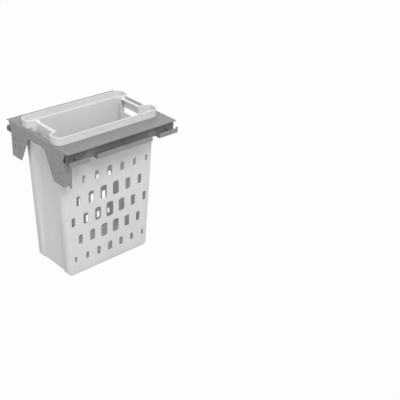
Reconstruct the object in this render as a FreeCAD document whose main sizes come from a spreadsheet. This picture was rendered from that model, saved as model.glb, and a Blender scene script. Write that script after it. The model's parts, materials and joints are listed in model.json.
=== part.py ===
import FreeCAD, Part
import math
import os
import Sketcher

# Pull-out laundry basket for a 400 mm cabinet, in millimetres.
# A tapered moulded basket hangs by its rim in a sheet steel frame. The frame carries the
# cabinet door on two ears and runs on a full-extension ball slide at each side. Brackets
# with three bent feet hold the slides off the cabinet walls.
# +X points right, +Y into the cabinet and +Z up. The origin is on the door plane, midway
# between the cabinet walls and level with the top of the frame plate.

doc = FreeCAD.newDocument("PullOutLaundryBasket")
sheet = doc.addObject("Spreadsheet::Sheet", "Sizes")

DRIVING_SIZES = {
    # cabinet and side brackets
    "cabinet_width": 366,
    "bracket_gauge": 1.5,
    "bracket_reach": 23,
    "bracket_front": 3,
    "bracket_overrun": 3,
    "bracket_top": -3,
    "bracket_bottom": -44.5,
    "foot_height": 17.5,
    "front_foot_end": 80,
    "foot_gap": 30,
    "rear_foot_length": 83,
    "foot_chamfer": 8,
    "hook_height": 4,
    "hook_length": 9,
    # system holes for the wall screws
    "wall_hole_first": 37,
    "wall_hole_last_inset": 34,
    "wall_hole_diameter": 5.2,
    "wall_hole_drop": 33.5,
    "access_hole_diameter": 8,
    # ball slides
    "slide_thickness": 12.7,
    "slide_height": 35,
    "slide_centre_drop": 22,
    "slide_gauge": 1.5,
    "slide_front": 6,
    "slide_length": 440,
    "travel_margin": 5,
    "buffer_length": 6,
    "running_gap": 0.4,
    "tip_gap": 1.2,
    "seat_gap": 0.3,
    # balls and their cages
    "ball_diameter": 3.2,
    "ball_clearance": 0.05,
    "race_gap": 2.6,
    "cage_gauge": 0.6,
    "cage_margin": 14,
    "cage_hole_clearance": 0.1,
    "ball_pitch": 20,
    # rivets
    "rivet_diameter": 4.8,
    "rivet_clearance": 0.05,
    "rivet_head_diameter": 9,
    "rivet_head_height": 1.4,
    "rivet_pitch": 150,
    # frame plate
    "frame_gauge": 1.5,
    "plate_side_gap": 8,
    "plate_hem": 4.5,
    "plate_front_margin": 8,
    "plate_rear_margin": 21,
    "plate_rear_fold": 12,
    "seat_width": 6,
    "skirt_flange": 18,
    "skirt_height": 43,
    # door plate and its ears
    "strip_height": 27,
    "shoulder_inset": 12,
    "shoulder_height": 4,
    "ear_inset": 24,
    "ear_bottom_width": 56,
    "ear_top_reach": 106,
    "ear_bottom": 125,
    "ear_corner_radius": 5,
    "ear_flange_depth": 30,
    "ear_flange_top": 50,
    "prong_length": 12,
    "prong_width": 8,
    "door_hole_diameter": 5.2,
    "door_hole_spacing": 26,
    "door_hole_inset": 21,
    "door_hole_drop": 56,
    "door_low_hole_drop": 105,
    "door_slot_length": 12,
    # basket rim
    "rim_width": 224,
    "rim_height": 27,
    "rim_corner_radius": 25,
    "rim_overhang_side": 8,
    "rim_overhang_end": 7,
    "rim_lip_height": 6.5,
    "rim_lip_reach": 1.5,
    "rim_ledge_top": 4,
    # basket walls
    "wall": 2.5,
    "basket_drop": 518,
    "basket_side_taper": 1.5,
    "basket_end_taper": 29,
    "wall_top_radius": 23,
    "wall_bottom_radius": 16,
    "foot_round": 8,
    # recessed ends and grips
    "pillar_width": 45,
    "recess_flare": 18,
    "rim_recess_depth": 28,
    "wall_recess_depth": 33,
    "pillar_bottom_width": 38,
    "recess_bottom_flare": 5,
    "recess_bottom_depth": 4,
    "recess_radius": 5,
    "grip_bar_drop": 6.5,
    "grip_apron_drop": 11.5,
    "grip_opening_inset": 3.5,
    "grip_opening_height": 44,
    "grip_opening_radius": 5,
    # graded slots in the long sides
    "slot_rows": 5,
    "slot_columns": 7,
    "slot_first_drop": 150,
    "slot_row_pitch": 76,
    "slot_column_pitch": 52,
    "slot_width": 31,
    "slot_height": 58,
    "slot_edge_width": 14.5,
    "slot_edge_height": 36,
    "slot_row_fall": 0.36,
    "slot_corner_share": 0.32,
}

for row, (alias, value) in enumerate(DRIVING_SIZES.items(), start=1):
    sheet.set(f"A{row}", alias)
    sheet.set(f"B{row}", str(value))
    sheet.setAlias(f"B{row}", alias)
doc.recompute()


class Size:
    """A length with its value now and the formula that gives it from the sheet."""

    def __init__(self, value, formula):
        self.value = float(value)
        self.formula = formula

    def __add__(self, other):
        other = as_size(other)
        return Size(self.value + other.value, f"({self.formula} + {other.formula})")

    def __sub__(self, other):
        other = as_size(other)
        return Size(self.value - other.value, f"({self.formula} - {other.formula})")

    def __mul__(self, other):
        other = as_size(other)
        return Size(self.value * other.value, f"({self.formula} * {other.formula})")

    def __truediv__(self, other):
        other = as_size(other)
        return Size(self.value / other.value, f"({self.formula} / {other.formula})")

    def __neg__(self):
        return Size(-self.value, f"(0 - {self.formula})")

    __radd__ = __add__
    __rmul__ = __mul__

    def __rsub__(self, other):
        return as_size(other) - self


def as_size(number):
    if isinstance(number, Size):
        return number
    return Size(number, f"({number:g})")


def size(alias):
    return Size(sheet.get(alias), f"Sizes.{alias}")


def bind(feature, target, length):
    feature.setExpression(target, as_size(length).formula)


# Sketches and features

# A cut this many times deeper than its wall passes right through, also when it runs both ways.
THROUGH = 4
ROLES = {"XY": "XY_Plane", "XZ": "XZ_Plane", "YZ": "YZ_Plane"}


def new_body(name):
    body = doc.addObject("PartDesign::Body", name)
    body.Label = name
    return body


def new_sketch(body, name, plane, offset=0):
    """A sketch on one of the body's own origin planes, moved along that plane's normal."""
    sketch = body.newObject("Sketcher::SketchObject", name)
    origin_planes = {feature.Role: feature for feature in body.Origin.OriginFeatures}
    sketch.AttachmentSupport = (origin_planes[ROLES[plane]], "")
    sketch.MapMode = "FlatFace"
    offset = as_size(offset)
    sketch.AttachmentOffset = FreeCAD.Placement(
        FreeCAD.Vector(0, 0, offset.value), FreeCAD.Rotation()
    )
    bind(sketch, "AttachmentOffset.Base.z", offset)
    return sketch


def hold(sketch, kind, *references, length):
    """A dimension that follows the sheet."""
    length = as_size(length)
    index = sketch.addConstraint(Sketcher.Constraint(kind, *references, length.value))
    bind(sketch, f"Constraints[{index}]", length)


def place_point(sketch, curve, end, x, y):
    hold(sketch, "DistanceX", -1, 1, curve, end, length=x)
    hold(sketch, "DistanceY", -1, 1, curve, end, length=y)


def add_outline(sketch, corners):
    """A closed outline through (x, y) or (x, y, radius) corners, rounded where asked."""
    points = [
        FreeCAD.Vector(as_size(corner[0]).value, as_size(corner[1]).value, 0) for corner in corners
    ]
    count = len(corners)
    starts = []
    ends = []
    arcs = []
    for index, corner in enumerate(corners):
        here = points[index]
        if len(corner) < 3:
            starts.append(here)
            ends.append(here)
            arcs.append(None)
            continue
        radius = as_size(corner[2]).value
        back = (points[index - 1] - here).normalize()
        ahead = (points[(index + 1) % count] - here).normalize()
        half_turn = math.acos(max(-1.0, min(1.0, back.dot(ahead)))) / 2
        reach = radius / math.tan(half_turn)
        centre = here + (back + ahead).normalize() * (radius / math.sin(half_turn))
        ends.append(here + back * reach)
        starts.append(here + ahead * reach)
        circle = Part.Circle(centre, FreeCAD.Vector(0, 0, 1), radius)
        angle_in = circle.parameter(ends[-1])
        angle_out = circle.parameter(starts[-1])
        turns_left = (angle_out - angle_in) % (2 * math.pi) < math.pi
        if turns_left:
            arcs.append((Part.ArcOfCircle(circle, angle_in, angle_out), 1, 2))
        else:
            arcs.append((Part.ArcOfCircle(circle, angle_out, angle_in), 2, 1))
    first = sketch.GeometryCount
    for index in range(count):
        sketch.addGeometry(Part.LineSegment(starts[index], ends[(index + 1) % count]), False)
    for index, corner in enumerate(corners):
        line_in = first + (index - 1) % count
        line_out = first + index
        if arcs[index] is None:
            sketch.addConstraint(Sketcher.Constraint("Coincident", line_in, 2, line_out, 1))
            place_point(sketch, line_out, 1, corner[0], corner[1])
            continue
        curve, arc_in, arc_out = arcs[index]
        arc = sketch.addGeometry(curve, False)
        sketch.addConstraint(Sketcher.Constraint("Tangent", line_in, 2, arc, arc_in))
        sketch.addConstraint(Sketcher.Constraint("Tangent", arc, arc_out, line_out, 1))
        hold(sketch, "Radius", arc, length=corner[2])
        virtual = sketch.addGeometry(Part.Point(points[index]), True)
        sketch.addConstraint(Sketcher.Constraint("PointOnObject", virtual, 1, line_in))
        sketch.addConstraint(Sketcher.Constraint("PointOnObject", virtual, 1, line_out))
        place_point(sketch, virtual, 1, corner[0], corner[1])


def add_circle(sketch, x, y, diameter):
    centre = FreeCAD.Vector(as_size(x).value, as_size(y).value, 0)
    radius = as_size(diameter) / 2
    circle = sketch.addGeometry(Part.Circle(centre, FreeCAD.Vector(0, 0, 1), radius.value), False)
    hold(sketch, "Radius", circle, length=radius)
    place_point(sketch, circle, 3, x, y)


def box_corners(low_x, high_x, low_y, high_y, *radius):
    return [
        (low_x, low_y, *radius),
        (high_x, low_y, *radius),
        (high_x, high_y, *radius),
        (low_x, high_y, *radius),
    ]


def outline_sketch(body, name, plane, corners, offset=0):
    sketch = new_sketch(body, name, plane, offset)
    add_outline(sketch, corners)
    return sketch


def pad(body, sketch, length, reverse=False, both_ways=False):
    feature = body.newObject("PartDesign::Pad", f"{sketch.Name}Pad")
    feature.Profile = sketch
    feature.Reversed = reverse
    feature.Midplane = both_ways
    bind(feature, "Length", length)
    doc.recompute()
    return feature


def pocket(body, sketch, length=None, reverse=False, both_ways=False):
    """Cut to a length, or right through; a cut that removes nothing is an error."""
    before = body.Shape.Volume
    feature = body.newObject("PartDesign::Pocket", f"{sketch.Name}Cut")
    feature.Profile = sketch
    feature.Reversed = reverse
    feature.Midplane = both_ways
    if length is None:
        feature.Type = "ThroughAll"
    else:
        bind(feature, "Length", length)
    doc.recompute()
    if not body.Shape.Volume < before:
        raise RuntimeError(f"{sketch.Name} cuts nothing")
    return feature


def pad_along_y(body, name, corners, start, length):
    """A constant section in the XZ plane, run from start in the +Y direction."""
    sketch = outline_sketch(body, name, "XZ", corners, -as_size(start))
    return pad(body, sketch, length, reverse=True)


def solids_node(name, solids):
    """Several separate solids that share one node, such as rivets or balls."""
    feature = doc.addObject("Part::Feature", name)
    feature.Label = name
    feature.Shape = Part.makeCompound(solids)
    feature.Placement = FreeCAD.Placement()
    return feature


# Places that several pieces share

SIDES = {"left": -1, "right": 1}

cabinet_half = size("cabinet_width") / 2
bracket_gauge = size("bracket_gauge")
web_outer = cabinet_half - size("bracket_reach")
web_inner = web_outer - bracket_gauge
skirt_outer = web_inner - size("slide_thickness")
frame_gauge = size("frame_gauge")
skirt_inner = skirt_outer - frame_gauge

slide_gauge = size("slide_gauge")
slide_centre = -size("slide_centre_drop")
slide_front = size("slide_front")
slide_length = size("slide_length")
slide_rear = slide_front + slide_length
running_gap = size("running_gap")
cage_gauge = size("cage_gauge")
race_gap = size("race_gap")

cabinet_web = web_inner - slide_gauge
outer_cage_web = cabinet_web - running_gap
middle_web = outer_cage_web - cage_gauge - running_gap
inner_cage_web = middle_web - slide_gauge - running_gap
drawer_tip = inner_cage_web - cage_gauge - running_gap
flange_tip = skirt_outer + size("tip_gap")
ball_x = (flange_tip + drawer_tip) / 2

slide_travel = slide_length - size("travel_margin")
buffer_length = size("buffer_length")

cabinet_flange = size("slide_height") / 2
middle_flange = cabinet_flange - slide_gauge - race_gap
drawer_flange = middle_flange - slide_gauge - race_gap
outer_ball_z = middle_flange + race_gap / 2
inner_ball_z = drawer_flange + race_gap / 2

bracket_front = size("bracket_front")
bracket_rear = slide_rear + buffer_length + size("bracket_overrun")
bracket_bottom = size("bracket_bottom")
foot_top = bracket_bottom + size("foot_height")
rear_foot_start = bracket_rear - size("rear_foot_length")
wall_hole_z = -size("wall_hole_drop")
first_wall_hole = size("wall_hole_first")
last_wall_hole = bracket_rear - size("wall_hole_last_inset")
wall_hole_rows = [first_wall_hole, (first_wall_hole + last_wall_hole) / 2, last_wall_hole]

plate_half = cabinet_half - size("plate_side_gap")
plate_depth = slide_rear + buffer_length
rim_length = plate_depth - size("plate_front_margin") - size("plate_rear_margin")
rim_half = size("rim_width") / 2
basket_centre = size("plate_front_margin") + rim_length / 2
ear_outer = plate_half - size("ear_inset")

# Half widths and half lengths of the basket's walls at the rim and at the foot, and the
# half widths of the recess in its short ends.
wall_half = rim_half - size("rim_overhang_side")
wall_half_length = rim_length / 2 - size("rim_overhang_end")
foot_half = wall_half - size("basket_side_taper")
foot_half_length = wall_half_length - size("basket_end_taper")
recess_mouth = rim_half - size("pillar_width")
recess_floor = recess_mouth - size("recess_flare")
foot_recess_mouth = foot_half - size("pillar_bottom_width")
foot_recess_floor = foot_recess_mouth - size("recess_bottom_flare")

# Heights of the rim, and how far the grips' faces stand from the basket's centre.
wall = size("wall")
rim_top = size("rim_height")
lip_low = rim_top - size("rim_lip_height")
lip_reach = size("rim_lip_reach")
ledge_top = size("rim_ledge_top")
bar_top = rim_top - size("grip_bar_drop")
apron_low = -size("grip_apron_drop")
apron_face = rim_length / 2 - lip_reach - size("rim_recess_depth")
panel_face = wall_half_length - size("wall_recess_depth")

RIVET_COUNT = 3
rivet_rows = [
    slide_front + slide_length / 2 + size("rivet_pitch") * (step - (RIVET_COUNT - 1) / 2)
    for step in range(RIVET_COUNT)
]


# Cabinet side, fixed to the cabinet walls

def make_bracket(name, side):
    """Upright web with three feet bent out and up, whose lips screw to the cabinet wall."""
    body = new_body(name)
    gauge = bracket_gauge
    section = [
        (side * web_inner, bracket_bottom),
        (side * cabinet_half, bracket_bottom),
        (side * cabinet_half, foot_top),
        (side * (cabinet_half - gauge), foot_top),
        (side * (cabinet_half - gauge), bracket_bottom + gauge),
        (side * web_outer, bracket_bottom + gauge),
        (side * web_outer, size("bracket_top")),
        (side * web_inner, size("bracket_top")),
    ]
    pad_along_y(body, "BracketSection", section, bracket_front, bracket_rear - bracket_front)

    hook_front = bracket_rear - size("hook_length")
    hook = box_corners(hook_front, bracket_rear, foot_top, foot_top + size("hook_height"))
    hook_sketch = outline_sketch(body, "RearHook", "YZ", hook, side * (cabinet_half - gauge / 2))
    pad(body, hook_sketch, gauge, both_ways=True)

    gap_low = bracket_bottom - gauge
    gap_high = foot_top + gauge
    chamfer = size("foot_chamfer")
    front_foot_end = size("front_foot_end")
    foot_gap = size("foot_gap")
    gaps = [
        (front_foot_end, front_foot_end + foot_gap),
        (rear_foot_start - foot_gap, rear_foot_start),
    ]
    for start, end in gaps:
        corners = [
            (start, gap_low),
            (end, gap_low),
            (end, gap_high),
            (start - chamfer - gauge, gap_high),
            (start, foot_top - chamfer),
        ]
        foot_middle = web_outer + size("bracket_reach") / 2
        sketch = outline_sketch(body, "FootGap", "YZ", corners, side * foot_middle)
        pocket(body, sketch, size("bracket_reach"), both_ways=True)

    screws = new_sketch(body, "WallScrewHoles", "YZ", side * cabinet_half)
    access = new_sketch(body, "ScrewAccess", "YZ", side * web_outer)
    rivets = new_sketch(body, "RivetHoles", "YZ", side * web_outer)
    for hole_y in wall_hole_rows:
        add_circle(screws, hole_y, wall_hole_z, size("wall_hole_diameter"))
        add_circle(access, hole_y, wall_hole_z, size("access_hole_diameter"))
    for rivet_y in rivet_rows:
        add_circle(rivets, rivet_y, slide_centre, size("rivet_diameter"))
    for sketch in (screws, access, rivets):
        pocket(body, sketch, gauge * THROUGH, both_ways=True)
    return body


def channel_section(side, web_face, tip, outer_half):
    """A C section that opens away from its web, at the slide's height."""
    inner_half = outer_half - slide_gauge
    opens = 1 if tip.value > web_face.value else -1
    web_back = web_face + slide_gauge * opens
    return [
        (side * web_face, slide_centre - outer_half, slide_gauge),
        (side * web_face, slide_centre + outer_half, slide_gauge),
        (side * tip, slide_centre + outer_half),
        (side * tip, slide_centre + inner_half),
        (side * web_back, slide_centre + inner_half),
        (side * web_back, slide_centre - inner_half),
        (side * tip, slide_centre - inner_half),
        (side * tip, slide_centre - outer_half),
    ]


def cut_races(body, side, heights):
    """Grooves for the balls along the flanges, upper and lower alike."""
    diameter = size("ball_diameter") + size("ball_clearance") * 2
    for height in heights:
        for sign in (-1, 1):
            sketch = new_sketch(body, "BallRace", "XZ")
            add_circle(sketch, side * ball_x, slide_centre + height * sign, diameter)
            pocket(body, sketch, slide_length * THROUGH, both_ways=True)


def cut_web_holes(body, name, side, web_face, centres, height, diameter):
    sketch = new_sketch(body, name, "YZ", side * web_face)
    for centre in centres:
        add_circle(sketch, centre, height, diameter)
    pocket(body, sketch, slide_gauge * THROUGH, both_ways=True)


def cut_screw_access(body, side, web_face):
    """Holes that let a screwdriver through to the wall screws."""
    diameter = size("access_hole_diameter")
    cut_web_holes(body, "ScrewAccess", side, web_face, wall_hole_rows, wall_hole_z, diameter)


def make_cabinet_member(name, side):
    """Outer member of the slide, riveted to the bracket's web."""
    body = new_body(name)
    section = channel_section(side, web_inner, flange_tip, cabinet_flange)
    pad_along_y(body, "MemberSection", section, slide_front, slide_length + buffer_length)
    cut_races(body, side, [outer_ball_z])
    cut_screw_access(body, side, web_inner)
    cut_web_holes(body, "RivetHoles", side, web_inner, rivet_rows, slide_centre, size("rivet_diameter"))
    return body


def make_middle_member(name, side):
    """Middle member, which runs half as far as the carriage."""
    body = new_body(name)
    section = channel_section(side, middle_web, flange_tip, middle_flange)
    pad_along_y(body, "MemberSection", section, slide_front, slide_length)
    cut_races(body, side, [outer_ball_z, inner_ball_z])
    cut_screw_access(body, side, middle_web)
    return body


def make_drawer_member(name, side):
    """Inner member, riveted to the frame's skirt."""
    body = new_body(name)
    section = channel_section(side, skirt_outer, drawer_tip, drawer_flange)
    pad_along_y(body, "MemberSection", section, slide_front, slide_length)
    cut_races(body, side, [inner_ball_z])
    cut_web_holes(body, "RivetHoles", side, skirt_outer, rivet_rows, slide_centre, size("rivet_diameter"))
    return body


cage_length = slide_length - slide_travel / 2 - size("cage_margin") * 2
cage_front = slide_front + (slide_length - cage_length) / 2


def ball_rows():
    """Places of the balls along the cage, centred on it."""
    pitch = size("ball_pitch")
    steps = int((cage_length.value - pitch.value) // pitch.value)
    first = cage_front + (cage_length - pitch * steps) / 2
    return [first + pitch * step for step in range(steps + 1)]


def make_cage(name, side, web_face, ball_height):
    """C-shaped strip that keeps the balls of the upper and lower race apart."""
    body = new_body(name)
    half = ball_height + cage_gauge / 2
    inner = half - cage_gauge
    tip = flange_tip + running_gap
    section = [
        (side * web_face, slide_centre - half),
        (side * web_face, slide_centre + half),
        (side * tip, slide_centre + half),
        (side * tip, slide_centre + inner),
        (side * (web_face - cage_gauge), slide_centre + inner),
        (side * (web_face - cage_gauge), slide_centre - inner),
        (side * tip, slide_centre - inner),
        (side * tip, slide_centre - half),
    ]
    pad_along_y(body, "CageSection", section, cage_front, cage_length)
    sketch = new_sketch(body, "BallHoles", "XY", slide_centre)
    diameter = size("ball_diameter") + size("cage_hole_clearance") * 2
    for ball_y in ball_rows():
        add_circle(sketch, side * ball_x, ball_y, diameter)
    pocket(body, sketch, size("slide_height") * THROUGH, both_ways=True)
    return body


def make_balls(name, side, ball_height):
    radius = size("ball_diameter").value / 2
    solids = []
    for ball_y in ball_rows():
        for sign in (-1, 1):
            height = (slide_centre + ball_height * sign).value
            centre = FreeCAD.Vector(side * ball_x.value, ball_y.value, height)
            solids.append(Part.makeSphere(radius, centre))
    return solids_node(name, solids)


def make_rivets(name, side, shank_from, shank_to, head_from):
    """Rivets through two walls; the closed side stays flush and the head stands outside."""
    radius = size("rivet_diameter").value / 2 - size("rivet_clearance").value
    head_radius = size("rivet_head_diameter").value / 2
    head_height = size("rivet_head_height").value
    edge = head_height / 2
    head_way = 1 if head_from.value > min(shank_from.value, shank_to.value) else -1
    axis = FreeCAD.Vector(side, 0, 0)
    solids = []
    for rivet_y in rivet_rows:
        start = FreeCAD.Vector(side * shank_from.value, rivet_y.value, slide_centre.value)
        shank = Part.makeCylinder(radius, shank_to.value - shank_from.value, start, axis)
        seat = FreeCAD.Vector(side * head_from.value, rivet_y.value, slide_centre.value)
        head = Part.makeCylinder(head_radius, head_height, seat, axis * head_way)
        rim = max(head.Edges, key=lambda edge_: abs(edge_.CenterOfMass.x - seat.x))
        solids.append(shank.fuse(head.makeFillet(edge, [rim])))
    return solids_node(name, solids)


def make_channel_cap(name, side):
    """Dark plastic cap that closes the front of the bracket's channel."""
    body = new_body(name)
    corners = box_corners(
        side * web_outer,
        side * (cabinet_half - bracket_gauge),
        bracket_bottom + bracket_gauge,
        foot_top,
    )
    pad_along_y(body, "CapSection", corners, bracket_front, buffer_length)
    return body


def make_closing_buffer(name, side):
    """Soft block at the rear of the cabinet member that the closed slide rests against."""
    body = new_body(name)
    half = cabinet_flange - slide_gauge - size("ball_clearance")
    corners = box_corners(
        side * (flange_tip + running_gap),
        side * cabinet_web,
        slide_centre - half,
        slide_centre + half,
        slide_gauge,
    )
    gap = size("seat_gap")
    pad_along_y(body, "BufferSection", corners, slide_rear + gap, buffer_length - gap)
    return body


# Frame that carries the basket and the door

def make_frame_plate():
    """Top plate with turned-down side edges, a rear fold and the opening for the basket."""
    body = new_body("frame_plate")
    gauge = frame_gauge
    hem_low = -size("plate_hem")
    section = [
        (-plate_half, hem_low),
        (-plate_half, 0),
        (plate_half, 0),
        (plate_half, hem_low),
        (plate_half - gauge, hem_low),
        (plate_half - gauge, -gauge),
        (gauge - plate_half, -gauge),
        (gauge - plate_half, hem_low),
    ]
    pad_along_y(body, "PlateSection", section, 0, plate_depth)
    fold = box_corners(-skirt_inner, skirt_inner, -size("plate_rear_fold"), -gauge / 2)
    pad_along_y(body, "RearFold", fold, plate_depth - gauge, gauge)

    seat = size("seat_width")
    opening = box_corners(
        seat - rim_half,
        rim_half - seat,
        basket_centre - rim_length / 2 + seat,
        basket_centre + rim_length / 2 - seat,
        size("rim_corner_radius") - seat,
    )
    sketch = outline_sketch(body, "BasketOpening", "XY", opening)
    pocket(body, sketch, gauge * THROUGH, both_ways=True)
    return body


def make_skirt(name, side):
    """Angle under the plate whose upright leg carries the slide's inner member."""
    body = new_body(name)
    gauge = frame_gauge
    section = [
        (side * (skirt_outer - size("skirt_flange")), -gauge),
        (side * skirt_outer, -gauge),
        (side * skirt_outer, -size("skirt_height")),
        (side * skirt_inner, -size("skirt_height")),
        (side * skirt_inner, -gauge * 2),
        (side * (skirt_outer - size("skirt_flange")), -gauge * 2),
    ]
    pad_along_y(body, "SkirtSection", section, bracket_front, plate_depth - gauge - bracket_front)
    cut_web_holes(body, "RivetHoles", side, skirt_inner, rivet_rows, slide_centre, size("rivet_diameter"))
    return body


# The ends of a door slot are rounded by this share of its half width.
SLOT_ROUND_SHARE = 0.98


def ear_corners(side):
    """Half of the door plate's outline, from the middle of the strip round one ear."""
    bottom_inner = ear_outer - size("ear_bottom_width")
    top_inner = ear_outer - size("ear_top_reach")
    shoulder = plate_half - size("shoulder_inset")
    radius = size("ear_corner_radius")
    return [
        (side * top_inner, -size("strip_height")),
        (side * bottom_inner, -size("ear_bottom"), radius),
        (side * ear_outer, -size("ear_bottom")),
        (side * ear_outer, -size("strip_height")),
        (side * shoulder, -size("shoulder_height")),
        (side * shoulder, -frame_gauge),
    ]


def make_door_plate():
    """Front plate: a strip under the top plate's front edge with two ears for the door."""
    body = new_body("door_plate")
    corners = ear_corners(1) + ear_corners(-1)[::-1]
    pad_along_y(body, "DoorPlateOutline", corners, 0, frame_gauge)
    flange_rear = frame_gauge + size("ear_flange_depth")
    for side in SIDES.values():
        flange = [
            (frame_gauge / 2, -size("ear_flange_top")),
            (flange_rear, -size("ear_flange_top")),
            (flange_rear, -size("ear_bottom") - size("prong_length")),
            (flange_rear - size("prong_width"), -size("ear_bottom") - size("prong_length")),
            (flange_rear - size("prong_width"), -size("ear_bottom")),
            (frame_gauge / 2, -size("ear_bottom")),
        ]
        sketch = outline_sketch(body, "EarFlange", "YZ", flange, side * (ear_outer - frame_gauge / 2))
        pad(body, sketch, frame_gauge, both_ways=True)

    holes = new_sketch(body, "DoorHoles", "XZ")
    slots = new_sketch(body, "DoorSlots", "XZ")
    spacing = size("door_hole_spacing")
    diameter = size("door_hole_diameter")
    top = -size("door_hole_drop")
    for side in SIDES.values():
        for column in range(2):
            hole_x = side * (ear_outer - size("door_hole_inset") - spacing * column)
            add_circle(holes, hole_x, top, diameter)
            slot_half = size("door_slot_length") / 2
            slot = box_corners(
                hole_x - diameter / 2,
                hole_x + diameter / 2,
                top - spacing - slot_half,
                top - spacing + slot_half,
                diameter / 2 * SLOT_ROUND_SHARE,
            )
            add_outline(slots, slot)
        middle_x = side * (ear_outer - size("door_hole_inset") - spacing / 2)
        add_circle(holes, middle_x, -size("door_low_hole_drop"), diameter)
    for sketch in (holes, slots):
        pocket(body, sketch, frame_gauge * THROUGH, both_ways=True)
    return body


# Basket

# The flared cheeks of the recess lean, so an inset moves them sideways by this share of it.
CHEEK_SHARE = 0.6
# The bevel at the foot runs in by this share of its height.
FOOT_SHARE = 0.7


def end_recess_outline(half_x, half_y, radius, mouth, floor, depth):
    """Rounded rectangle about the basket's centre with a flared recess in each short end."""
    soft = size("recess_radius")
    far = basket_centre + half_y
    near = basket_centre - half_y
    return [
        (half_x, near, radius),
        (half_x, far, radius),
        (mouth, far, soft),
        (floor, far - depth, soft),
        (-floor, far - depth, soft),
        (-mouth, far, soft),
        (-half_x, far, radius),
        (-half_x, near, radius),
        (-mouth, near, soft),
        (-floor, near + depth, soft),
        (floor, near + depth, soft),
        (mouth, near, soft),
    ]


def rim_outline(inset):
    """Outline of the rim, drawn in by inset all round."""
    return end_recess_outline(
        rim_half - inset,
        rim_length / 2 - inset,
        size("rim_corner_radius") - inset,
        recess_mouth + inset * CHEEK_SHARE,
        recess_floor + inset * CHEEK_SHARE,
        size("rim_recess_depth"),
    )


def wall_outline_top(inset):
    return end_recess_outline(
        wall_half - inset,
        wall_half_length - inset,
        size("wall_top_radius") - inset,
        recess_mouth + inset * CHEEK_SHARE,
        recess_floor + inset * CHEEK_SHARE,
        size("wall_recess_depth"),
    )


def wall_outline_bottom(inset):
    return end_recess_outline(
        foot_half - inset,
        foot_half_length - inset,
        size("wall_bottom_radius") - inset,
        foot_recess_mouth + inset * CHEEK_SHARE,
        foot_recess_floor + inset * CHEEK_SHARE,
        size("recess_bottom_depth"),
    )


# The apron under each grip runs this share of the way up the cheeks beside it.
APRON_SHARE = 0.45


def apron_outline(side):
    """From cheek to cheek along the grip's outer face, and straight back inside the rim."""
    soft = size("recess_radius")
    half = recess_floor + lip_reach * CHEEK_SHARE
    end_x = half + size("recess_flare") * APRON_SHARE
    end_y = basket_centre + side * (apron_face + size("rim_recess_depth") * APRON_SHARE)
    outside = basket_centre + side * apron_face
    inside = outside - side * wall
    return [
        (-end_x, end_y),
        (-half, outside, soft),
        (half, outside, soft),
        (end_x, end_y),
        (end_x, inside),
        (-end_x, inside),
    ]


def make_rim():
    """Rim of the basket: a skirt with a lip, an inner ledge and an apron at each grip."""
    body = new_body("BasketRim")
    skirt = outline_sketch(body, "RimSkirt", "XY", rim_outline(lip_reach))
    pad(body, skirt, lip_low)
    lip = outline_sketch(body, "RimLip", "XY", rim_outline(0), lip_low)
    pad(body, lip, rim_top - lip_low)
    for side in SIDES.values():
        sketch = outline_sketch(body, "GripApron", "XY", apron_outline(side), apron_low)
        pad(body, sketch, ledge_top - apron_low)
    hollow = outline_sketch(body, "RimHollow", "XY", rim_outline(lip_reach + wall), apron_low)
    pocket(body, hollow, bar_top - wall - apron_low, reverse=True)
    ledge = outline_sketch(body, "RimLedge", "XY", rim_outline(lip_reach + wall / 2), ledge_top - wall)
    pad(body, ledge, wall)
    for side in SIDES.values():
        well = box_corners(
            -recess_floor,
            recess_floor,
            basket_centre + side * (apron_face - wall),
            basket_centre + side * (panel_face - wall / 2),
        )
        pocket(body, outline_sketch(body, "GripWell", "XY", well), ledge_top, reverse=True)
    return body


def make_collar_hollow():
    """Opens the rim above its ledge, so that a collar stands round the basket's mouth."""
    inset = lip_reach + wall
    half_y = rim_length / 2 - inset
    outline = end_recess_outline(
        rim_half - inset,
        half_y,
        size("rim_corner_radius") - inset,
        recess_mouth + wall * CHEEK_SHARE,
        recess_floor + wall * CHEEK_SHARE,
        half_y - panel_face + wall,
    )
    body = new_body("CollarHollow")
    pad(body, outline_sketch(body, "CollarOutline", "XY", outline, ledge_top), rim_top)
    return body


def make_grip_dip(name, side):
    """Lowers the grip below the collar, with sloping ends."""
    body = new_body(name)
    corners = [
        (-recess_floor - wall, rim_top + wall),
        (wall - recess_floor, bar_top, wall),
        (recess_floor - wall, bar_top, wall),
        (recess_floor + wall, rim_top + wall),
    ]
    sketch = outline_sketch(body, "DipOutline", "XZ", corners, -basket_centre - side * apron_face)
    pad(body, sketch, size("rim_recess_depth") * 2, both_ways=True)
    return body


def level_outline(name, corners, height):
    """An outline that lies level at the given height, outside any body."""
    sketch = doc.addObject("Sketcher::SketchObject", name)
    bind(sketch, "Placement.Base.z", height)
    add_outline(sketch, corners)
    doc.recompute()
    return sketch


def outline_edges(sketch):
    """The outline's lines and arcs in the order in which they were drawn."""
    placement = sketch.Placement
    edges = []
    for curve, facade in zip(sketch.Geometry, sketch.GeometryFacadeList):
        if facade.Construction:
            continue
        edge = curve.toShape()
        edge.Placement = placement
        edges.append(edge)
    return edges


def wall_face(upper, lower):
    """Flat where both edges are parallel lines, otherwise ruled between them."""
    straight = isinstance(upper.Curve, Part.Line) and isinstance(lower.Curve, Part.Line)
    if straight and upper.tangentAt(0).cross(lower.tangentAt(0)).Length < 1e-9:
        corners = [vertex.Point for vertex in (*upper.Vertexes, *lower.Vertexes[::-1])]
        return Part.Face(Part.makePolygon([*corners, corners[0]]))
    return Part.makeRuledSurface(lower, upper)


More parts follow.
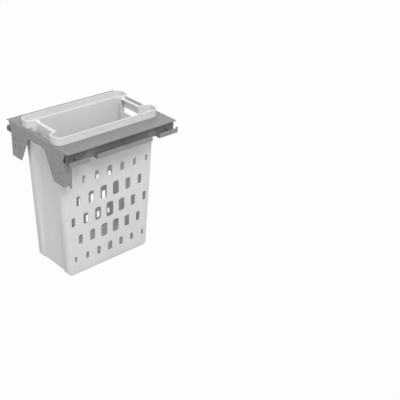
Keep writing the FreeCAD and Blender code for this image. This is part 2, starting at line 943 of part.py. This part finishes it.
def walled_block(name, sketches):
    """A solid whose walls run straight from each level outline to the next."""
    levels = [outline_edges(sketch) for sketch in sketches]
    faces = []
    for upper_edges, lower_edges in zip(levels, levels[1:]):
        for upper, lower in zip(upper_edges, lower_edges):
            faces.append(wall_face(upper, lower))
    for edges in (levels[0], levels[-1]):
        faces.append(Part.Face(Part.Wire(Part.sortEdges(edges)[0])))
    shell = Part.Compound(faces)
    shell.sewShape()
    block = Part.Solid(shell.Shells[0])
    if block.Volume < 0:
        block.reverse()
    return solids_node(name, [block])


def make_walls(name, inset):
    """Tapered walls down to a bevelled foot, drawn in by inset on every side."""
    inset = as_size(inset)
    foot = size("foot_round")
    drop = size("basket_drop")
    levels = [
        level_outline(f"{name}Top", wall_outline_top(inset), rim_top),
        level_outline(f"{name}Knee", wall_outline_bottom(inset), foot - drop),
        level_outline(f"{name}Foot", wall_outline_bottom(inset + foot * FOOT_SHARE), inset - drop),
    ]
    return walled_block(name, levels)


def make_grip_opening(name, side):
    """Rounded bar that opens the recessed end wall for the fingers."""
    half = recess_floor - size("grip_opening_inset")
    top = bar_top - wall
    opening = box_corners(-half, half, top - size("grip_opening_height"), top, size("grip_opening_radius"))
    body = new_body(name)
    sketch = outline_sketch(body, "GripOutline", "XZ", opening, -basket_centre - side * panel_face)
    pad(body, sketch, size("rim_overhang_end") * 2, both_ways=True)
    return body


def slot_grid():
    """Centre, width and height of each slot in one long side.

    The rows hold one slot fewer in turn, so that the slots stand staggered. Slots shrink
    from the middle of the side towards its ends, and the first and last rows are smaller.
    """
    rows = int(size("slot_rows").value)
    columns = int(size("slot_columns").value)
    middle_row = (rows - 1) / 2
    middle_column = (columns - 1) / 2
    fall = size("slot_row_fall").value
    taper = size("basket_end_taper").value
    for row in range(rows):
        here = columns - row % 2
        drop = size("slot_first_drop").value + row * size("slot_row_pitch").value
        squeeze = 1 - (row - middle_row) * size("slot_row_pitch").value * taper / (
            size("basket_drop").value * wall_half_length.value
        )
        share = 1 - fall * (abs(row - middle_row) / middle_row) ** 3
        for column in range(here):
            along = column - (here - 1) / 2
            edge = abs(along) / middle_column
            width = (size("slot_width") + (size("slot_edge_width") - size("slot_width")) * edge).value
            height = (size("slot_height") + (size("slot_edge_height") - size("slot_height")) * edge).value
            centre = basket_centre.value + along * size("slot_column_pitch").value * squeeze
            yield centre, -drop, width * share, height * share


# A slot's bar reaches this many wall thicknesses inside the wall at the foot.
SLOT_BAR_WALLS = 3


def make_slot_cutter():
    """Short rounded bars that cut the slots through one long side and then the other."""
    outer_reach = rim_half.value
    inner_reach = foot_half.value - wall.value * SLOT_BAR_WALLS
    bars = []
    for centre_y, centre_z, width, height in slot_grid():
        for low_x in (-outer_reach, inner_reach):
            corner = FreeCAD.Vector(low_x, centre_y - width / 2, centre_z - height / 2)
            bar = Part.makeBox(outer_reach - inner_reach, width, height, corner)
            long_edges = [edge for edge in bar.Edges if abs(edge.tangentAt(0).x) > 0.5]
            bars.append(bar.makeFillet(width * size("slot_corner_share").value, long_edges))
    return solids_node("SlotCutter", bars)


def make_basket():
    outside = doc.addObject("Part::Fuse", "BasketOutside")
    outside.Base = make_rim()
    outside.Tool = make_walls("Walls", 0)
    hollow = doc.addObject("Part::Cut", "BasketHollow")
    hollow.Base = outside
    hollow.Tool = make_walls("Cavity", wall)
    collar = doc.addObject("Part::Cut", "BasketCollar")
    collar.Base = hollow
    collar.Tool = make_collar_hollow()
    openings = doc.addObject("Part::Compound", "BasketOpenings")
    openings.Links = [
        make_slot_cutter(),
        make_grip_opening("FrontGripOpening", -1),
        make_grip_opening("RearGripOpening", 1),
        make_grip_dip("FrontGripDip", -1),
        make_grip_dip("RearGripDip", 1),
    ]
    basket = doc.addObject("Part::Cut", "laundry_basket")
    basket.Label = "laundry_basket"
    basket.Base = collar
    basket.Tool = openings
    return basket


nodes = [make_frame_plate(), make_door_plate()]
for side_name, side_sign in SIDES.items():
    nodes.append(make_bracket(f"wall_bracket_{side_name}", side_sign))
    nodes.append(make_cabinet_member(f"cabinet_member_{side_name}", side_sign))
    nodes.append(make_channel_cap(f"channel_cap_{side_name}", side_sign))
    nodes.append(make_closing_buffer(f"closing_buffer_{side_name}", side_sign))
    nodes.append(make_middle_member(f"middle_member_{side_name}", side_sign))
    nodes.append(make_drawer_member(f"drawer_member_{side_name}", side_sign))
    nodes.append(make_skirt(f"frame_skirt_{side_name}", side_sign))
    nodes.append(make_cage(f"outer_cage_{side_name}", side_sign, outer_cage_web, outer_ball_z))
    nodes.append(make_balls(f"outer_balls_{side_name}", side_sign, outer_ball_z))
    nodes.append(make_cage(f"inner_cage_{side_name}", side_sign, inner_cage_web, inner_ball_z))
    nodes.append(make_balls(f"inner_balls_{side_name}", side_sign, inner_ball_z))
    nodes.append(make_rivets(f"bracket_rivets_{side_name}", side_sign, cabinet_web, web_outer, web_outer))
    nodes.append(make_rivets(
        f"skirt_rivets_{side_name}", side_sign, skirt_inner, skirt_outer + slide_gauge, skirt_inner
    ))
nodes.append(make_basket())
doc.recompute()

for item in doc.Objects:
    if "Invalid" in item.State or "Error" in item.State:
        raise RuntimeError(f"{item.Label} failed to build")
for node in nodes:
    if node.Shape.isNull() or not node.Shape.isValid() or not node.Shape.Solids:
        raise RuntimeError(f"{node.Label} has no valid solid")

os.makedirs("parts", exist_ok=True)
for node in nodes:
    node.Shape.exportStep(f"parts/{node.Label}.step")
print(f"{len(nodes)} nodes written")
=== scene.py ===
import json
import math

import bmesh
import bpy
from mathutils import Matrix, Vector


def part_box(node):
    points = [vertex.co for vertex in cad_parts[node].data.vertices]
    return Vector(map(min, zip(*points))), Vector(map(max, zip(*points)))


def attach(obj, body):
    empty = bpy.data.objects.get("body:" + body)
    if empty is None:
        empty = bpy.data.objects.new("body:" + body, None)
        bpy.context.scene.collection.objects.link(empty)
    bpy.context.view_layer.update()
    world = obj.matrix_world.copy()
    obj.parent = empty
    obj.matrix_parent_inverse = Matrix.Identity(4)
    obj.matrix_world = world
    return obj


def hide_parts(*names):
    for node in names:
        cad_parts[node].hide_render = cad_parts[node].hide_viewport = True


# Looks of a pull-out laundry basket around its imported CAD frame, in metres.
# +X points right, +Y into the cabinet and +Z up, as in the CAD.

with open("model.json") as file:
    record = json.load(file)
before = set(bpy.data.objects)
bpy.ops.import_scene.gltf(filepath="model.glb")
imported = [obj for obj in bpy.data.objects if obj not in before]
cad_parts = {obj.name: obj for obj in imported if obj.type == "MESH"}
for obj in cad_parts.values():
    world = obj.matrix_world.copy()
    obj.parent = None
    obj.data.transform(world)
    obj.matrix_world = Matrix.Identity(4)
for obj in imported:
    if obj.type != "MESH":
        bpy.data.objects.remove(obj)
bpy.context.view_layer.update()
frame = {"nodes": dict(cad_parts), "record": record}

MM = 0.001
SIDES = ("left", "right")
WHITE = (1, 1, 1, 1)


# Procedural materials

COAT_METALLIC = 0.25
SATIN_ROUGHNESS = (0.34, 0.5)
MATT_ROUGHNESS = (0.8, 0.85)

# Cosines between a face's normal and the rounded one: flat, and along a sharp edge
FLAT_COSINE = 0.99
EDGE_COSINE = 0.8
EDGE_SAMPLES = 4

# Painted shade, standing in for the shadow under the plate's overhang, covers the bracket's
# upright web.
# It fades out just past the web's outer face, and just above the underside of the feet.
BRACKET_REACH = 23 * MM
bracket_low, bracket_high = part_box("wall_bracket_right")
web_outer = bracket_high.x - BRACKET_REACH
SHADE_FADE_ACROSS = (web_outer + 0.3 * MM, web_outer + 0.8 * MM)
SHADE_FADE_UP = (bracket_low.z + 1.1 * MM, bracket_low.z + 2.1 * MM)


class Material:
    """A principled material with a short way to add nodes to it."""

    def __init__(self, name, colour, roughness, metallic=0.0):
        self.data = bpy.data.materials.new(name)
        self.data.use_nodes = True
        self.nodes = self.data.node_tree.nodes
        self.links = self.data.node_tree.links
        self.shader = self.nodes["Principled BSDF"]
        self.shader.inputs["Base Color"].default_value = (*colour, 1)
        self.shader.inputs["Roughness"].default_value = roughness
        self.shader.inputs["Metallic"].default_value = metallic
        self.place = self.nodes.new("ShaderNodeTexCoord").outputs["Object"]

    def set(self, socket, value):
        self.links.new(value, self.shader.inputs[socket])

    def stretched(self, scale):
        """Object coordinates scaled by an amount for each axis."""
        mapping = self.nodes.new("ShaderNodeMapping")
        mapping.inputs["Scale"].default_value = scale
        self.links.new(self.place, mapping.inputs["Vector"])
        return mapping.outputs["Vector"]

    def noise(self, scale, detail=4, roughness=0.55, place=None):
        texture = self.nodes.new("ShaderNodeTexNoise")
        texture.inputs["Scale"].default_value = scale
        texture.inputs["Detail"].default_value = detail
        texture.inputs["Roughness"].default_value = roughness
        self.links.new(place or self.place, texture.inputs["Vector"])
        return texture.outputs["Fac"]

    def calculate(self, operation, *values):
        """Result of a math node on one or two sockets."""
        node = self.nodes.new("ShaderNodeMath")
        node.operation = operation
        for value, socket in zip(values, node.inputs):
            self.links.new(value, socket)
        return node.outputs["Value"]

    def span(self, value, low, high, to_low=0.0, to_high=1.0):
        """Maps value from low..high to to_low..to_high, clamped."""
        node = self.nodes.new("ShaderNodeMapRange")
        node.inputs["From Min"].default_value = low
        node.inputs["From Max"].default_value = high
        node.inputs["To Min"].default_value = to_low
        node.inputs["To Max"].default_value = to_high
        self.links.new(value, node.inputs["Value"])
        return node.outputs["Result"]

    def mix(self, share, first, second):
        """Colour between first and second; each is a colour or a socket."""
        node = self.nodes.new("ShaderNodeMix")
        node.data_type = "RGBA"
        sockets = [socket for socket in node.inputs if socket.type == "RGBA"]
        self.links.new(share, node.inputs["Factor"])
        for socket, value in zip(sockets, (first, second)):
            if isinstance(value, tuple):
                socket.default_value = (*value, 1)
            else:
                self.links.new(value, socket)
        return [socket for socket in node.outputs if socket.type == "RGBA"][0]

    def bump(self, height, strength, distance, below=None):
        node = self.nodes.new("ShaderNodeBump")
        node.inputs["Strength"].default_value = strength
        node.inputs["Distance"].default_value = distance
        self.links.new(height, node.inputs["Height"])
        if below is not None:
            self.links.new(below, node.inputs["Normal"])
        return node.outputs["Normal"]

    def edge_share(self, radius):
        """Rises from 0 on flat faces to 1 along sharp edges."""
        bevel = self.nodes.new("ShaderNodeBevel")
        bevel.samples = EDGE_SAMPLES
        bevel.inputs["Radius"].default_value = radius
        geometry = self.nodes.new("ShaderNodeNewGeometry")
        dot = self.nodes.new("ShaderNodeVectorMath")
        dot.operation = "DOT_PRODUCT"
        self.links.new(bevel.outputs["Normal"], dot.inputs[0])
        self.links.new(geometry.outputs["Normal"], dot.inputs[1])
        return self.span(dot.outputs["Value"], FLAT_COSINE, EDGE_COSINE)

    def web_shade_share(self):
        """Share of the painted shade: 1 on the bracket's upright web and 0 on its feet, with a
        narrow change between.
        """
        split = self.nodes.new("ShaderNodeSeparateXYZ")
        self.links.new(self.place, split.inputs["Vector"])
        across = self.calculate("ABSOLUTE", split.outputs["X"])
        near_web = self.span(across, *SHADE_FADE_ACROSS, to_low=1.0, to_high=0.0)
        above_foot = self.span(split.outputs["Z"], *SHADE_FADE_UP)
        return self.calculate("MULTIPLY", near_web, above_foot)


def scaled(colour, factor):
    return tuple(min(1.0, channel * factor) for channel in colour)


def coated_steel(name, colour, web_shade_colour=None, roughness=SATIN_ROUGHNESS):
    """Paint or powder coat on sheet steel: orange peel, faint clouding and rubbed edges.

    With a web shade colour, the bracket's upright web is painted that dark colour as painted
    shade for the shadow under the plate, and made matt.
    """
    made = Material(name, colour, max(roughness), COAT_METALLIC)
    cloud = made.noise(14, detail=3)
    fine = made.noise(2600, detail=2, roughness=0.6)
    tone = made.mix(made.span(cloud, 0.35, 0.7), scaled(colour, 0.94), scaled(colour, 1.04))
    speck = made.mix(made.span(fine, 0.45, 0.75, to_high=0.35), tone, scaled(colour, 1.16))
    base = made.mix(made.edge_share(0.7 * MM), speck, scaled(colour, 1.25))
    dull = made.span(made.noise(60, detail=5), 0.3, 0.75, *roughness)
    # Painted shade: the web gets a dark colour that stands in for the shadow under the plate's
    # overhang.
    if web_shade_colour is not None:
        web = made.web_shade_share()
        painted_shade = made.mix(made.span(cloud, 0.3, 0.7), web_shade_colour, scaled(web_shade_colour, 1.3))
        base = made.mix(web, base, painted_shade)
        matt = made.span(web, 0.0, 1.0, to_high=max(MATT_ROUGHNESS))
        dull = made.calculate("MAXIMUM", dull, matt)
        made.set("Metallic", made.span(web, 0.0, 1.0, COAT_METALLIC, 0.0))
    made.set("Base Color", base)
    made.set("Roughness", dull)
    peel = made.bump(made.noise(1300, detail=3), 0.14, 0.06 * MM)
    made.set("Normal", made.bump(fine, 0.08, 0.02 * MM, peel))
    return made.data


def drawn_steel(name, colour, roughness):
    """Cold-rolled strip, plain or zinc plated, with rolling lines along the slide."""
    made = Material(name, colour, roughness, metallic=0.85)
    lines = made.noise(1.0, roughness=0.65, place=made.stretched((1800, 12, 1800)))
    cloud = made.noise(30)
    tone = made.mix(made.span(lines, 0.3, 0.72), scaled(colour, 0.86), scaled(colour, 1.1))
    bloom = made.mix(made.span(cloud, 0.5, 0.75, to_high=0.4), tone, scaled(colour, 0.78))
    made.set("Base Color", made.mix(made.edge_share(0.5 * MM), bloom, scaled(colour, 1.2)))
    made.set("Roughness", made.span(lines, 0.25, 0.8, roughness - 0.08, roughness + 0.12))
    made.set("Normal", made.bump(lines, 0.12, 0.03 * MM))
    return made.data


def polished_steel(name, colour, roughness):
    """Hardened balls or dull rivet heads, with a faint haze."""
    made = Material(name, colour, roughness, metallic=0.95)
    haze = made.noise(400)
    made.set("Base Color", made.mix(made.span(haze, 0.4, 0.8), colour, scaled(colour, 0.8)))
    made.set("Roughness", made.span(haze, 0.3, 0.8, roughness - 0.04, roughness + 0.16))
    made.set("Normal", made.bump(made.noise(1500, detail=2), 0.05, 0.02 * MM))
    return made.data


def moulded_plastic(name, colour):
    """Pale satin polypropylene: fine spark-eroded grain, soft flow marks and rubbed edges."""
    made = Material(name, colour, roughness=0.5)
    made.shader.inputs["IOR"].default_value = 1.49
    made.shader.inputs["Specular IOR Level"].default_value = 0.35
    flow = made.noise(1.0, detail=3, roughness=0.5, place=made.stretched((9, 9, 3)))
    grain = made.noise(1700, detail=3, roughness=0.6)
    scuff = made.noise(1.0, detail=5, roughness=0.7, place=made.stretched((160, 40, 260)))
    tone = made.mix(made.span(flow, 0.35, 0.7), scaled(colour, 0.965), scaled(colour, 1.02))
    rubbed = made.mix(made.span(scuff, 0.66, 0.82, to_high=0.3), tone, scaled(colour, 0.9))
    made.set("Base Color", made.mix(made.edge_share(0.9 * MM), rubbed, scaled(colour, 1.06)))
    made.set("Roughness", made.span(scuff, 0.3, 0.8, 0.42, 0.62))
    soft = made.bump(made.noise(24, detail=2), 0.1, 0.5 * MM)
    made.set("Normal", made.bump(grain, 0.16, 0.05 * MM, soft))
    return made.data


def dark_plastic(name, colour, roughness, grain_scale):
    """Dark plastic or rubber with a fine grain and a little dust."""
    made = Material(name, colour, roughness)
    grain = made.noise(grain_scale, roughness=0.6)
    dust = made.span(made.noise(90, detail=5), 0.5, 0.8, to_high=0.6)
    made.set("Base Color", made.mix(dust, colour, scaled(colour, 1.5)))
    made.set("Roughness", made.span(grain, 0.3, 0.75, roughness - 0.1, roughness + 0.15))
    made.set("Normal", made.bump(grain, 0.25, 0.08 * MM))
    return made.data


STEEL_GREY = (0.272, 0.272, 0.275)
# Dark grey painted on the bracket's web as painted shade, for the shadow under the plate's
# overhang.
WEB_SHADE_GREY = (0.17, 0.17, 0.172)
# Rivet heads darkened to match the painted shade on the web.
RIVET_SHADE_GREY = (0.15, 0.15, 0.152)
ZINC_GREY = (0.52, 0.53, 0.54)
CAGE_GREY = (0.36, 0.36, 0.36)
BALL_GREY = (0.72, 0.72, 0.74)
BASKET_GREY = (0.745, 0.745, 0.741)
# Near-black end caps; their dark tone also stands in for the shade inside the channels' front
# ends.
CAP_AND_SHADE_GREY = (0.11, 0.11, 0.112)
RUBBER_BLACK = (0.03, 0.03, 0.03)

MATERIALS = {
    "frame_steel": coated_steel("frame_steel", STEEL_GREY),
    "slide_steel": drawn_steel("slide_steel", ZINC_GREY, roughness=0.32),
    "cage_steel": drawn_steel("cage_steel", CAGE_GREY, roughness=0.45),
    "ball_steel": polished_steel("ball_steel", BALL_GREY, roughness=0.18),
    "rivet_steel": polished_steel("rivet_steel", RIVET_SHADE_GREY, roughness=0.4),
    "cap_plastic": dark_plastic("cap_plastic", CAP_AND_SHADE_GREY, roughness=0.5, grain_scale=1400),
    "buffer_rubber": dark_plastic("buffer_rubber", RUBBER_BLACK, roughness=0.8, grain_scale=900),
    "basket_plastic": moulded_plastic("basket_plastic", BASKET_GREY),
}
# The bracket's steel, with painted shade on its upright web.
SHADED_BRACKET_STEEL = coated_steel("bracket_steel_shaded", STEEL_GREY, web_shade_colour=WEB_SHADE_GREY)
# Painted shade for the rivet heads on the web, in the web's dark grey.
WEB_SHADE_STEEL = coated_steel("web_shade_steel", WEB_SHADE_GREY, roughness=MATT_ROUGHNESS)

SLOT_OF_NODE = {row["node"]: row["material_slot"] for row in frame["record"]["subparts"]}
BODY_OF_NODE = {
    node: body for body, nodes in frame["record"]["behaviour"]["bodies"].items() for node in nodes
}

for node, cad_object in frame["nodes"].items():
    finish = MATERIALS[SLOT_OF_NODE[node]]
    # Rivet heads on the web take the web's painted shade.
    if node.startswith("bracket_rivets"):
        finish = WEB_SHADE_STEEL
    for material_slot in cad_object.material_slots:
        material_slot.material = finish


# Pieces with softened edges

MERGE_DISTANCE = 0.002 * MM
FLAT_ANGLE = math.radians(0.6)
SHARP_ANGLE = math.radians(32)
EDGE_SEGMENTS = 2
SHEET_EDGE = 0.35 * MM
ROLLED_EDGE = 0.25 * MM
PLASTIC_EDGE = 0.7 * MM


def softened(node, width, material=None):
    """Replaces a CAD node by a copy with merged flat faces and rounded sharp edges."""
    mesh = bpy.data.meshes.new(f"{node}_finished")
    shape = bmesh.new()
    shape.from_mesh(frame["nodes"][node].data)
    bmesh.ops.remove_doubles(shape, verts=shape.verts, dist=MERGE_DISTANCE)
    bmesh.ops.dissolve_limit(
        shape, angle_limit=FLAT_ANGLE, verts=shape.verts, edges=shape.edges, delimit={"NORMAL"}
    )
    shape.to_mesh(mesh)
    shape.free()
    mesh.materials.append(material or MATERIALS[SLOT_OF_NODE[node]])
    piece = bpy.data.objects.new(f"{node}_finished", mesh)
    bpy.context.scene.collection.objects.link(piece)
    bevel = piece.modifiers.new("Edges", "BEVEL")
    bevel.width = width
    bevel.segments = EDGE_SEGMENTS
    bevel.limit_method = "ANGLE"
    bevel.angle_limit = SHARP_ANGLE
    bevel.harden_normals = True
    bevel.use_clamp_overlap = True
    for face in mesh.polygons:
        face.use_smooth = True
    mesh.set_sharp_from_angle(angle=SHARP_ANGLE)
    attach(piece, BODY_OF_NODE[node])
    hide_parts(node)


softened("laundry_basket", PLASTIC_EDGE)
softened("frame_plate", SHEET_EDGE)
softened("door_plate", SHEET_EDGE)
for side in SIDES:
    softened(f"wall_bracket_{side}", SHEET_EDGE, SHADED_BRACKET_STEEL)
    softened(f"frame_skirt_{side}", SHEET_EDGE)
    softened(f"channel_cap_{side}", PLASTIC_EDGE)
    softened(f"closing_buffer_{side}", PLASTIC_EDGE)
    for member in ("cabinet_member", "middle_member", "drawer_member"):
        softened(f"{member}_{side}", ROLLED_EDGE)


# Floor, white surroundings and light

FLOOR_HALF = 14.0
FLOOR_GREY = (0.5, 0.5, 0.5)
FLOOR_GLOW = 0.97
WORLD_STRENGTH = 0.8
KEY_PLACE = (2.5, -0.9, 3.0)
KEY_AIM = (0, 0.22, -0.15)
KEY_SIZE = 1.5
KEY_WATTS = 75
floor_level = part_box("laundry_basket")[0].z


def background_share(nodes, links):
    """1 for rays that show the background: from the camera, off gloss and through glass."""
    rays = nodes.new("ShaderNodeLightPath")
    share = rays.outputs["Is Camera Ray"]
    for kind in ("Is Glossy Ray", "Is Transmission Ray"):
        either = nodes.new("ShaderNodeMath")
        either.operation = "MAXIMUM"
        links.new(share, either.inputs[0])
        links.new(rays.outputs[kind], either.inputs[1])
        share = either.outputs["Value"]
    return share


def floor_material():
    """Grey for the light and nearly white for the camera, with the object's soft shadow."""
    data = bpy.data.materials.new("floor_white")
    data.use_nodes = True
    nodes, links = data.node_tree.nodes, data.node_tree.links
    nodes.clear()
    diffuse = nodes.new("ShaderNodeBsdfDiffuse")
    diffuse.inputs["Color"].default_value = (*FLOOR_GREY, 1)
    glow = nodes.new("ShaderNodeEmission")
    glow.inputs["Color"].default_value = WHITE
    glow.inputs["Strength"].default_value = 1.0
    share = nodes.new("ShaderNodeMath")
    share.operation = "MULTIPLY"
    share.inputs[1].default_value = FLOOR_GLOW
    lit = nodes.new("ShaderNodeMixShader")
    output = nodes.new("ShaderNodeOutputMaterial")
    links.new(background_share(nodes, links), share.inputs[0])
    links.new(share.outputs["Value"], lit.inputs["Fac"])
    links.new(diffuse.outputs["BSDF"], lit.inputs[1])
    links.new(glow.outputs["Emission"], lit.inputs[2])
    links.new(lit.outputs["Shader"], output.inputs["Surface"])
    return data


def make_floor():
    """A plain square floor under the basket's foot."""
    mesh = bpy.data.meshes.new("floor")
    signs = [(-1, -1), (1, -1), (1, 1), (-1, 1)]
    corners = [(x * FLOOR_HALF, y * FLOOR_HALF, floor_level) for x, y in signs]
    mesh.from_pydata(corners, [], [(0, 1, 2, 3)])
    mesh.materials.append(floor_material())
    floor = bpy.data.objects.new("floor", mesh)
    bpy.context.scene.collection.objects.link(floor)


def make_world(strength):
    """Even light from all round; the camera, gloss and glass see plain white."""
    world = bpy.data.worlds.new("studio")
    bpy.context.scene.world = world
    world.use_nodes = True
    nodes, links = world.node_tree.nodes, world.node_tree.links
    nodes.clear()
    soft = nodes.new("ShaderNodeBackground")
    soft.inputs["Color"].default_value = WHITE
    soft.inputs["Strength"].default_value = strength
    plain = nodes.new("ShaderNodeBackground")
    plain.inputs["Color"].default_value = WHITE
    plain.inputs["Strength"].default_value = 1.0
    mixed = nodes.new("ShaderNodeMixShader")
    output = nodes.new("ShaderNodeOutputWorld")
    links.new(background_share(nodes, links), mixed.inputs["Fac"])
    links.new(soft.outputs["Background"], mixed.inputs[1])
    links.new(plain.outputs["Background"], mixed.inputs[2])
    links.new(mixed.outputs["Shader"], output.inputs["Surface"])


def make_lamp(name, place, aim, size, watts):
    """A square soft lamp at place that points at aim."""
    data = bpy.data.lights.new(name, "AREA")
    data.shape = "SQUARE"
    data.size = size
    data.energy = watts
    lamp = bpy.data.objects.new(name, data)
    lamp.location = place
    lamp.rotation_euler = (Vector(aim) - Vector(place)).to_track_quat("-Z", "Y").to_euler()
    bpy.context.scene.collection.objects.link(lamp)


make_floor()
make_world(WORLD_STRENGTH)
make_lamp("key", KEY_PLACE, KEY_AIM, KEY_SIZE, KEY_WATTS)


# Camera, fitted to the corners of the plate, the brackets and the basket in the photograph

CAMERA_PLACE = Vector((1.9505, -1.2037, 1.0431))
CAMERA_TURN = math.radians(44.66)
CAMERA_DIP = math.radians(29.16)
CAMERA_ROLL = math.radians(3.35)
CAMERA_LENS = 68.5
CAMERA_SENSOR = 36

camera_data = bpy.data.cameras.new("camera")
camera_data.sensor_width = CAMERA_SENSOR
camera_data.lens = CAMERA_LENS
camera = bpy.data.objects.new("camera", camera_data)
bpy.context.scene.collection.objects.link(camera)
turn = Matrix.Rotation(CAMERA_TURN, 4, "Z")
dip = Matrix.Rotation(math.pi / 2 - CAMERA_DIP, 4, "X")
roll = Matrix.Rotation(CAMERA_ROLL, 4, "Z")
camera.matrix_world = Matrix.Translation(CAMERA_PLACE) @ turn @ dip @ roll
bpy.context.scene.camera = camera
bpy.context.scene.view_settings.view_transform = "Standard"
